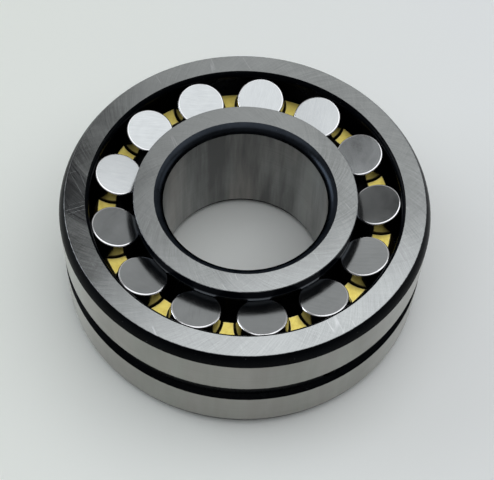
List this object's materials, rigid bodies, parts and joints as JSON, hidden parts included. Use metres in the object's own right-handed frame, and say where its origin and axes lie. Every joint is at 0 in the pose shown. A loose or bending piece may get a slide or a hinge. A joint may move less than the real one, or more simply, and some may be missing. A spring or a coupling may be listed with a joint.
{
  "type": "spherical roller bearing",
  "caption": "Self-aligning spherical roller bearing with barrel rollers in a solid prong cage, a plain cylindrical bore and a grooved outer ring.",
  "frame": {"origin": "centre of the bearing, on the bore's axis, halfway between the side faces", "axes": "+Z along the bore's axis, towards the side face that is up in the picture; +X and +Y across the bearing"},
  "size_m": [0.09, 0.09, 0.033],
  "materials": {
    "ring_steel": "ground side faces and outside, black unground corners and groove",
    "roller_steel": "polished",
    "cage_brass": "machined",
    "guide_steel": "turned"
  },
  "bodies": {
    "outer_ring": {"outer_ring": "ring_steel"},
    "guide_ring": {"guide_ring": "guide_steel"},
    "inner_ring": {"inner_ring": "ring_steel"},
    "cage": {"cage": "cage_brass"},
    "upper_roller_01": {"upper_roller_01": "roller_steel"},
    "upper_roller_02": {"upper_roller_02": "roller_steel"},
    "upper_roller_03": {"upper_roller_03": "roller_steel"},
    "upper_roller_04": {"upper_roller_04": "roller_steel"},
    "upper_roller_05": {"upper_roller_05": "roller_steel"},
    "upper_roller_06": {"upper_roller_06": "roller_steel"},
    "upper_roller_07": {"upper_roller_07": "roller_steel"},
    "upper_roller_08": {"upper_roller_08": "roller_steel"},
    "upper_roller_09": {"upper_roller_09": "roller_steel"},
    "upper_roller_10": {"upper_roller_10": "roller_steel"},
    "upper_roller_11": {"upper_roller_11": "roller_steel"},
    "upper_roller_12": {"upper_roller_12": "roller_steel"},
    "upper_roller_13": {"upper_roller_13": "roller_steel"},
    "lower_roller_01": {"lower_roller_01": "roller_steel"},
    "lower_roller_02": {"lower_roller_02": "roller_steel"},
    "lower_roller_03": {"lower_roller_03": "roller_steel"},
    "lower_roller_04": {"lower_roller_04": "roller_steel"},
    "lower_roller_05": {"lower_roller_05": "roller_steel"},
    "lower_roller_06": {"lower_roller_06": "roller_steel"},
    "lower_roller_07": {"lower_roller_07": "roller_steel"},
    "lower_roller_08": {"lower_roller_08": "roller_steel"},
    "lower_roller_09": {"lower_roller_09": "roller_steel"},
    "lower_roller_10": {"lower_roller_10": "roller_steel"},
    "lower_roller_11": {"lower_roller_11": "roller_steel"},
    "lower_roller_12": {"lower_roller_12": "roller_steel"},
    "lower_roller_13": {"lower_roller_13": "roller_steel"}
  },
  "joints": [
    {"name": "swivel", "type": "hinge", "parent": "outer_ring", "child": "guide_ring", "pos_m": [0, 0, 0], "axis": [1, 0, 0], "range_deg": [-2, 2]},
    {"name": "inner_spin", "type": "hinge", "parent": "guide_ring", "child": "inner_ring", "pos_m": [0, 0, 0], "axis": [0, 0, 1], "continuous": true},
    {"name": "cage_spin", "type": "hinge", "parent": "guide_ring", "child": "cage", "pos_m": [0, 0, 0], "axis": [0, 0, 1], "continuous": true},
    {"name": "upper_roller_01_spin", "type": "hinge", "parent": "cage", "child": "upper_roller_01", "pos_m": [-0.01327, 0.03052, 0.0083], "axis": [0.0965, -0.2219, 0.9703], "continuous": true},
    {"name": "upper_roller_02_spin", "type": "hinge", "parent": "cage", "child": "upper_roller_02", "pos_m": [0.00243, 0.03319, 0.0083], "axis": [-0.0177, -0.2413, 0.9703], "continuous": true},
    {"name": "upper_roller_03_spin", "type": "hinge", "parent": "cage", "child": "upper_roller_03", "pos_m": [0.01758, 0.02826, 0.0083], "axis": [-0.1278, -0.2054, 0.9703], "continuous": true},
    {"name": "upper_roller_04_spin", "type": "hinge", "parent": "cage", "child": "upper_roller_04", "pos_m": [0.0287, 0.01685, 0.0083], "axis": [-0.2086, -0.1225, 0.9703], "continuous": true},
    {"name": "upper_roller_05_spin", "type": "hinge", "parent": "cage", "child": "upper_roller_05", "pos_m": [0.03324, 0.00159, 0.0083], "axis": [-0.2416, -0.0115, 0.9703], "continuous": true},
    {"name": "upper_roller_06_spin", "type": "hinge", "parent": "cage", "child": "upper_roller_06", "pos_m": [0.03017, -0.01404, 0.0083], "axis": [-0.2193, 0.1021, 0.9703], "continuous": true},
    {"name": "upper_roller_07_spin", "type": "hinge", "parent": "cage", "child": "upper_roller_07", "pos_m": [0.02019, -0.02646, 0.0083], "axis": [-0.1468, 0.1923, 0.9703], "continuous": true},
    {"name": "upper_roller_08_spin", "type": "hinge", "parent": "cage", "child": "upper_roller_08", "pos_m": [0.00558, -0.03281, 0.0083], "axis": [-0.0406, 0.2385, 0.9703], "continuous": true},
    {"name": "upper_roller_09_spin", "type": "hinge", "parent": "cage", "child": "upper_roller_09", "pos_m": [-0.01031, -0.03165, 0.0083], "axis": [0.0749, 0.23, 0.9703], "continuous": true},
    {"name": "upper_roller_10_spin", "type": "hinge", "parent": "cage", "child": "upper_roller_10", "pos_m": [-0.02383, -0.02323, 0.0083], "axis": [0.1732, 0.1689, 0.9703], "continuous": true},
    {"name": "upper_roller_11_spin", "type": "hinge", "parent": "cage", "child": "upper_roller_11", "pos_m": [-0.0319, -0.0095, 0.0083], "axis": [0.2319, 0.069, 0.9703], "continuous": true},
    {"name": "upper_roller_12_spin", "type": "hinge", "parent": "cage", "child": "upper_roller_12", "pos_m": [-0.03266, 0.00642, 0.0083], "axis": [0.2374, -0.0466, 0.9703], "continuous": true},
    {"name": "upper_roller_13_spin", "type": "hinge", "parent": "cage", "child": "upper_roller_13", "pos_m": [-0.02593, 0.02086, 0.0083], "axis": [0.1885, -0.1516, 0.9703], "continuous": true},
    {"name": "lower_roller_01_spin", "type": "hinge", "parent": "cage", "child": "lower_roller_01", "pos_m": [-0.00558, 0.03281, -0.0083], "axis": [-0.0406, 0.2385, 0.9703], "continuous": true},
    {"name": "lower_roller_02_spin", "type": "hinge", "parent": "cage", "child": "lower_roller_02", "pos_m": [0.01031, 0.03165, -0.0083], "axis": [0.0749, 0.23, 0.9703], "continuous": true},
    {"name": "lower_roller_03_spin", "type": "hinge", "parent": "cage", "child": "lower_roller_03", "pos_m": [0.02383, 0.02323, -0.0083], "axis": [0.1732, 0.1689, 0.9703], "continuous": true},
    {"name": "lower_roller_04_spin", "type": "hinge", "parent": "cage", "child": "lower_roller_04", "pos_m": [0.0319, 0.0095, -0.0083], "axis": [0.2319, 0.069, 0.9703], "continuous": true},
    {"name": "lower_roller_05_spin", "type": "hinge", "parent": "cage", "child": "lower_roller_05", "pos_m": [0.03266, -0.00642, -0.0083], "axis": [0.2374, -0.0466, 0.9703], "continuous": true},
    {"name": "lower_roller_06_spin", "type": "hinge", "parent": "cage", "child": "lower_roller_06", "pos_m": [0.02593, -0.02086, -0.0083], "axis": [0.1885, -0.1516, 0.9703], "continuous": true},
    {"name": "lower_roller_07_spin", "type": "hinge", "parent": "cage", "child": "lower_roller_07", "pos_m": [0.01327, -0.03052, -0.0083], "axis": [0.0965, -0.2219, 0.9703], "continuous": true},
    {"name": "lower_roller_08_spin", "type": "hinge", "parent": "cage", "child": "lower_roller_08", "pos_m": [-0.00243, -0.03319, -0.0083], "axis": [-0.0177, -0.2413, 0.9703], "continuous": true},
    {"name": "lower_roller_09_spin", "type": "hinge", "parent": "cage", "child": "lower_roller_09", "pos_m": [-0.01758, -0.02826, -0.0083], "axis": [-0.1278, -0.2054, 0.9703], "continuous": true},
    {"name": "lower_roller_10_spin", "type": "hinge", "parent": "cage", "child": "lower_roller_10", "pos_m": [-0.0287, -0.01685, -0.0083], "axis": [-0.2086, -0.1225, 0.9703], "continuous": true},
    {"name": "lower_roller_11_spin", "type": "hinge", "parent": "cage", "child": "lower_roller_11", "pos_m": [-0.03324, -0.00159, -0.0083], "axis": [-0.2416, -0.0115, 0.9703], "continuous": true},
    {"name": "lower_roller_12_spin", "type": "hinge", "parent": "cage", "child": "lower_roller_12", "pos_m": [-0.03017, 0.01404, -0.0083], "axis": [-0.2193, 0.1021, 0.9703], "continuous": true},
    {"name": "lower_roller_13_spin", "type": "hinge", "parent": "cage", "child": "lower_roller_13", "pos_m": [-0.02019, 0.02646, -0.0083], "axis": [-0.1468, 0.1923, 0.9703], "continuous": true}
  ],
  "couplings": [
    {"joint": "cage_spin", "follows": "inner_spin", "ratio": 0.40889},
    {"joint": "upper_roller_01_spin", "follows": "inner_spin", "ratio": -2.5741},
    {"joint": "upper_roller_02_spin", "follows": "inner_spin", "ratio": -2.5741},
    {"joint": "upper_roller_03_spin", "follows": "inner_spin", "ratio": -2.5741},
    {"joint": "upper_roller_04_spin", "follows": "inner_spin", "ratio": -2.5741},
    {"joint": "upper_roller_05_spin", "follows": "inner_spin", "ratio": -2.5741},
    {"joint": "upper_roller_06_spin", "follows": "inner_spin", "ratio": -2.5741},
    {"joint": "upper_roller_07_spin", "follows": "inner_spin", "ratio": -2.5741},
    {"joint": "upper_roller_08_spin", "follows": "inner_spin", "ratio": -2.5741},
    {"joint": "upper_roller_09_spin", "follows": "inner_spin", "ratio": -2.5741},
    {"joint": "upper_roller_10_spin", "follows": "inner_spin", "ratio": -2.5741},
    {"joint": "upper_roller_11_spin", "follows": "inner_spin", "ratio": -2.5741},
    {"joint": "upper_roller_12_spin", "follows": "inner_spin", "ratio": -2.5741},
    {"joint": "upper_roller_13_spin", "follows": "inner_spin", "ratio": -2.5741},
    {"joint": "lower_roller_01_spin", "follows": "inner_spin", "ratio": -2.5741},
    {"joint": "lower_roller_02_spin", "follows": "inner_spin", "ratio": -2.5741},
    {"joint": "lower_roller_03_spin", "follows": "inner_spin", "ratio": -2.5741},
    {"joint": "lower_roller_04_spin", "follows": "inner_spin", "ratio": -2.5741},
    {"joint": "lower_roller_05_spin", "follows": "inner_spin", "ratio": -2.5741},
    {"joint": "lower_roller_06_spin", "follows": "inner_spin", "ratio": -2.5741},
    {"joint": "lower_roller_07_spin", "follows": "inner_spin", "ratio": -2.5741},
    {"joint": "lower_roller_08_spin", "follows": "inner_spin", "ratio": -2.5741},
    {"joint": "lower_roller_09_spin", "follows": "inner_spin", "ratio": -2.5741},
    {"joint": "lower_roller_10_spin", "follows": "inner_spin", "ratio": -2.5741},
    {"joint": "lower_roller_11_spin", "follows": "inner_spin", "ratio": -2.5741},
    {"joint": "lower_roller_12_spin", "follows": "inner_spin", "ratio": -2.5741},
    {"joint": "lower_roller_13_spin", "follows": "inner_spin", "ratio": -2.5741}
  ]
}
